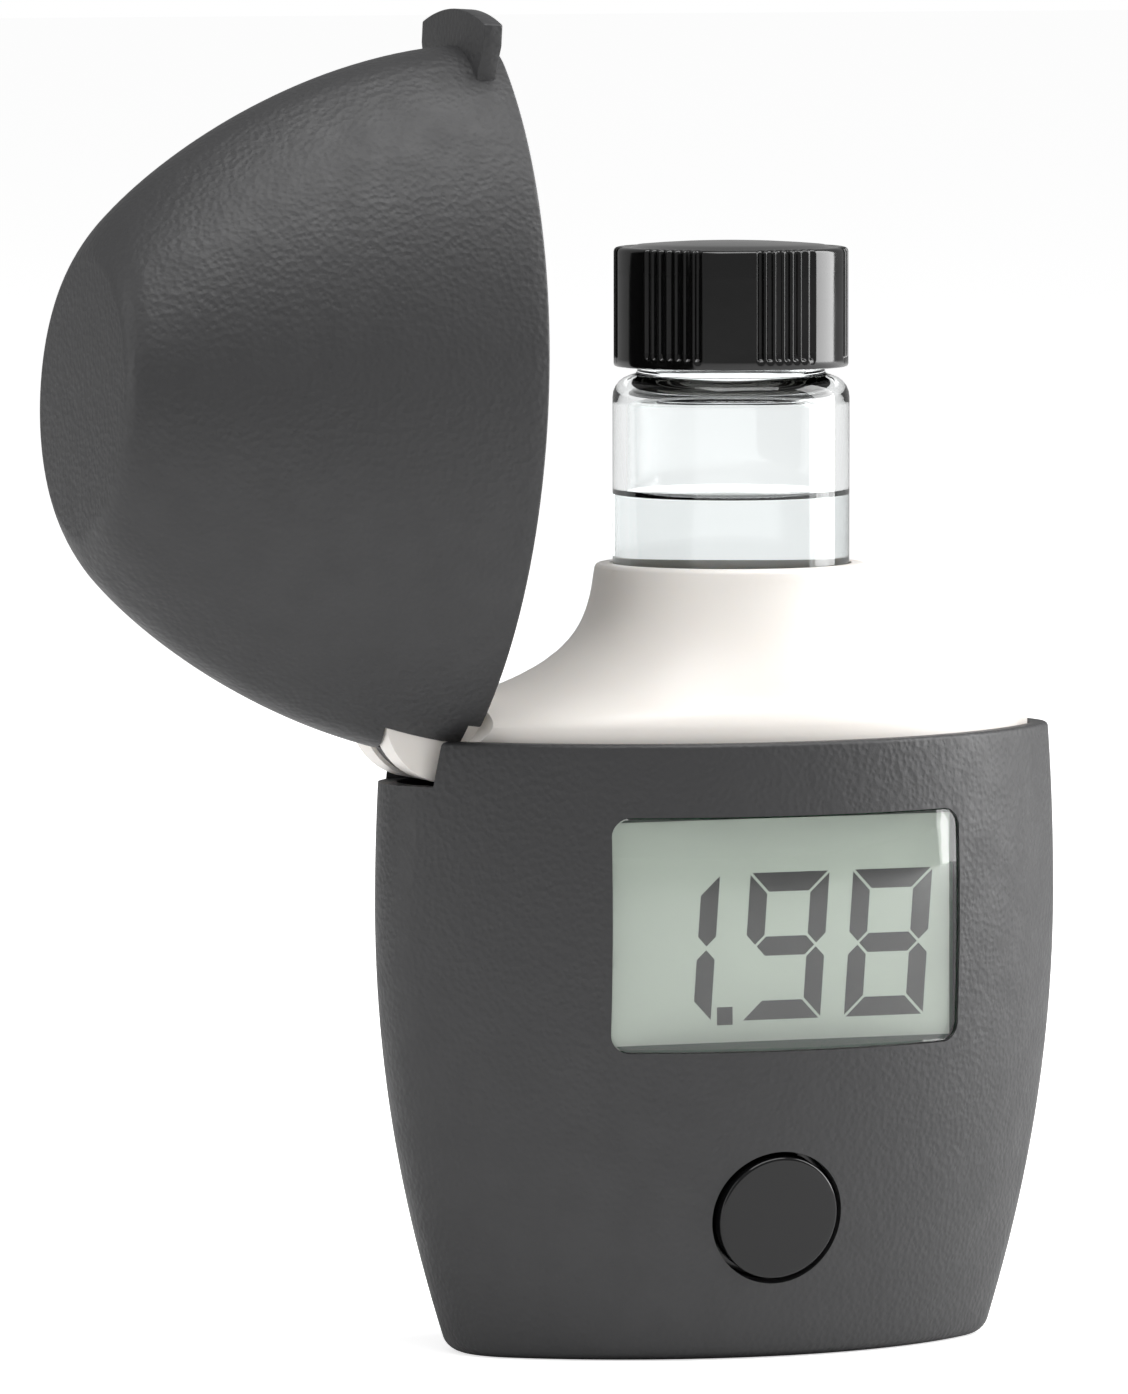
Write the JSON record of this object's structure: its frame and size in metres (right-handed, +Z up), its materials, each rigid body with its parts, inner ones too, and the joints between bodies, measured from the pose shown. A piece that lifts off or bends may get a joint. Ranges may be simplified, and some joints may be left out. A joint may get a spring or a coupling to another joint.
{
  "type": "pocket photometer",
  "caption": "Pocket photometer with a lens shaped housing, side hinged dome lid, white collar and a capped glass sample vial.",
  "frame": {"origin": "centre of the flat underside of the housing", "axes": "+Z up, +X to the latch side, the display faces -Y"},
  "size_m": [0.088, 0.0372, 0.1132],
  "materials": {
    "housing": "fine leather grain, charcoal",
    "lid": "fine leather grain, charcoal",
    "white_plastic": "smooth satin, warm white",
    "clear_window": "polished clear",
    "vial_glass": "polished clear",
    "sample": "clear water",
    "black_gloss": "glossy black",
    "button_black": "satin black",
    "display_glass": "polished clear",
    "display_grey": "grey green film",
    "steel": "plated",
    "brass": "plated",
    "board_green": "solder mask",
    "chip_black": "moulded",
    "lamp_clear": "clear resin",
    "filter_glass": "coloured glass",
    "liner_white": "soft foam",
    "seat_black": "plain",
    "battery_label": "plain sleeve",
    "rubber_black": "conductive rubber"
  },
  "bodies": {
    "housing_body": {"housing": "housing", "chassis": "white_plastic", "hinge_pin": "steel", "circuit_board": "board_green", "board_screws": "steel", "microcontroller": "chip_black", "board_chips": "chip_black", "lamp": "lamp_clear", "optical_filter": "filter_glass", "photodiode": "chip_black", "detector_board": "board_green", "display_window": "clear_window", "display_front_glass": "display_glass", "display_rear_glass": "display_glass", "display_reflector": "display_grey", "display_contact_strips": "rubber_black", "tact_switch": "chip_black", "battery": "battery_label", "battery_plus_contact": "brass", "base_screws": "steel", "seat_spring": "steel"},
    "lid_body": {"lid": "lid"},
    "seat_body": {"vial_seat": "seat_black"},
    "vial_body": {"vial_glass": "vial_glass", "sample_liquid": "sample"},
    "liner_body": {"cap_liner": "liner_white"},
    "cap_body": {"vial_cap": "black_gloss"},
    "button_body": {"button": "button_black", "switch_plunger": "chip_black"},
    "cover_body": {"battery_cover": "housing", "battery_minus_contact": "steel"},
    "cover_screw_body": {"battery_cover_screw": "steel"}
  },
  "joints": [
    {"name": "lid_hinge", "type": "hinge", "parent": "housing_body", "child": "lid_body", "pos_m": [-0.0259, 0, 0.0542], "axis": [0, -1, 0], "range_deg": [-87, 0]},
    {"name": "seat_slide", "type": "slide", "parent": "housing_body", "child": "seat_body", "axis": [0, 0, 1], "range_m": [-0.011, 0], "deforming": ["seat_spring"]},
    {"name": "vial_lift", "type": "slide", "parent": "seat_body", "child": "vial_body", "axis": [0, 0, 1], "range_m": [0, 0.045]},
    {"name": "cap_rise", "type": "slide", "parent": "vial_body", "child": "liner_body", "axis": [0, 0, 1], "range_m": [0, 0.00397]},
    {"name": "cap_turn", "type": "hinge", "parent": "liner_body", "child": "cap_body", "pos_m": [0.0013, 0, 0.087], "axis": [0, 0, 1], "range_deg": [0, 450]},
    {"name": "button_press", "type": "slide", "parent": "housing_body", "child": "button_body", "axis": [0, 0.9812, 0.1929], "range_m": [0, 0.0004], "stiffness_N_per_m": 800},
    {"name": "battery_cover_drop", "type": "slide", "parent": "housing_body", "child": "cover_body", "axis": [0, 0, -1], "range_m": [0, 0.03]},
    {"name": "cover_screw_turn", "type": "hinge", "parent": "cover_body", "child": "cover_screw_body", "pos_m": [-0.0066, 0, 0.001], "axis": [0, 0, 1], "continuous": true}
  ],
  "couplings": [
    {"joint": "lid_hinge", "follows": "seat_slide", "rad_per_m": 138.04},
    {"joint": "cap_turn", "follows": "cap_rise", "rad_per_m": 1979}
  ]
}
